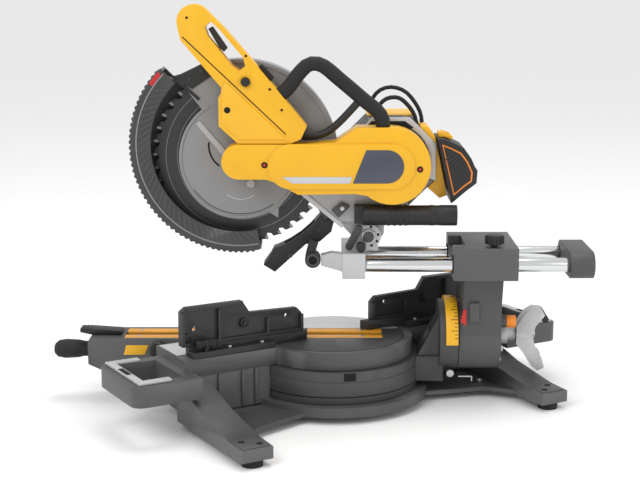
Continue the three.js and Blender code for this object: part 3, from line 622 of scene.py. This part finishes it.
# ---------------------------------------------------------------- turntable and base
def turntable_details():
    make("arm_side_plate", "table", "yellow", lambda bm: prism(
        bm, [(-300, 72), (-270, 72), (-264, 86), (-296, 86)], ARM_FACE, ARM_FACE - 1.2), 0.4)
    make("table_face_plate", "table", "table", lambda bm: prism(
        bm, circle(0, 0, 98, 60, 16, 148), 94.9, 95.25, "XY"), 0.1)
    make("kerf_screws", "table", "steel", lambda bm: [
        prism(bm, circle(x, y, 3.2, 16), 94.9, 95.3, "XY") for x in (-280, -210, -120, -40, 40)
        for y in (-17, 17)], 0.1)
    # the notch is a thin dark band: painted shade
    make("drum_notch", "table", "painted_shade_and_seams", lambda bm: prism(
        bm, band(0, 0, 120.4, 121.4, -84, 8, 8), 58, 69, "XY"), 0.1)
    make("drum_groove", "table", "painted_shade_and_seams", lambda bm: prism(
        bm, band(0, 0, 120.2, 121.2, -175, 170, 60), 34, 35.4, "XY"), 0.1)
    make("drum_skirt", "table", "dark_cast", lambda bm: prism(
        bm, band(0, 0, 119, 122.4, -170, 150, 60), 36, 56, "XY"), 0.8)
    make("detent_ribs", "detent_lever", "black", lambda bm: [
        block(bm, x, x + 2, -10, 10, 101.5, 104.8) for x in (-362, -357, -352)], 0.3)
    make("slot_bolt", "table", "light_cast", lambda bm: prism(bm, circle(-62, -26, 7, 6), 95, 99, "XY"), 0.8)


def base_details():
    def numbers(bm):
        for i in range(56):
            a = math.radians(216 + 1.98 * i)
            inner = 125 if i % 5 == 0 else 129
            u, v = math.cos(a), math.sin(a)
            prism(bm, [(inner * u - 0.5 * v, inner * v + 0.5 * u), (inner * u + 0.5 * v, inner * v - 0.5 * u),
                       (133 * u + 0.5 * v, 133 * v - 0.5 * u), (133 * u - 0.5 * v, 133 * v + 0.5 * u)],
                  25.5, 25.8, "XY")
    make("miter_scale_ticks", "base", "black", numbers, 0, ROW)
    for side, s in (("right", 1), ("left", -1)):
        wing = [(s * x, y) for x, y in ((116, -19), (150, -34), (205, -63), (247, -63), (247, -2), (116, -2))]
        make(f"wing_face_{side}", "base", "table", lambda bm, wing=wing: prism(
            bm, wing, 94.8, 95.3, "XY"), 0.1, ROW)
        make(f"wing_rear_ribs_{side}", "base", "base_cast", lambda bm, s=s: [
            block(bm, min(s * x, s * (x + 4)), max(s * x, s * (x + 4)), 26.5, 31, 20, 70)
            for x in (140, 160, 196)], 0.8, ROW)
        # the loop window is a thin dark sheet: painted shade for the opening
        make(f"loop_window_{side}", "base", "painted_shade_and_seams", lambda bm, s=s: block(
            bm, min(s * 328, s * 335), max(s * 328, s * 335), 2, 34, 89.8, 90.3), 0.1, ROW)
        pad = [(s * x, y) for x, y in ((217, 176), (255, 176), (255, 211), (217, 211))]
        make(f"foot_pad_{side}", "base", "base_cast", lambda bm, pad=pad: prism(
            bm, pad, 25.6, 28.2, "XY"), 1.2, ROW)
        # the foot pad holes are thin dark discs: painted shade
        make(f"foot_holes_{side}", "base", "painted_shade_and_seams", lambda bm, s=s: [
            prism(bm, circle(s * x, y, 4.6, 18), 28.1, 28.5, "XY")
            for x, y in ((227, 202), (245, 186))], 0.1, ROW)
        make(f"web_bolt_{side}", "base", "steel", lambda bm, s=s: prism(
            bm, circle(s * 196, 90, 5, 6), 15.6, 21, "XY"), 0.4, ROW)
        make(f"front_foot_{side}", "base", "rubber", lambda bm, s=s: prism(
            bm, circle(s * 205, -52, 15.6, 28), 0.2, 9, "XY"), 0.8, ROW)
        make(f"fence_bolts_{side}", "base", "steel", lambda bm, s=s: [
            prism(bm, circle(s * x, 20, 3.6, 6), 102.9, 106, "XY") for x in (128, 178)], 0.4, ROW)
        make(f"fence_nuts_{side}", f"fence_slider_{side}", "black", lambda bm, s=s: [
            prism(bm, circle(s * x, z, r, 16), 7.6, y)
            for x, z, r, y in ((150, 132, 6.5, 12), (150, 132, 3.6, 15), (236, 122, 5, 11))], 0.5, ROW)
        make(f"fence_knob_lobes_{side}", f"fence_clamp_{side}", "black", lambda bm, s=s: [
            prism(bm, circle(s * 214 + x, 22.5, 4.6, 14), 108, 119, "XY") for x in (-11, 0, 11)], 0.8, ROW)


SECTIONS = (cover_details, grip_details, motor_details, battery_details, guard_details,
            lower_guard_details, blade_details, casting_details, slide_details, column_details,
            turntable_details, base_details)
for details in SECTIONS:
    details()

floor_mesh = bpy.data.meshes.new("floor")
floor_mesh.from_pydata([(-40, -40, 0), (40, -40, 0), (40, 40, 0), (-40, 40, 0)], [], [(0, 1, 2, 3)])
floor_mesh.materials.append(finish("floor_paper", (0.95, 0.95, 0.95), 0.8, grain=60, bump=0.02, spread=0.01))
floor = bpy.data.objects.new("floor", floor_mesh)
bpy.context.scene.collection.objects.link(floor)

bpy.context.view_layer.update()
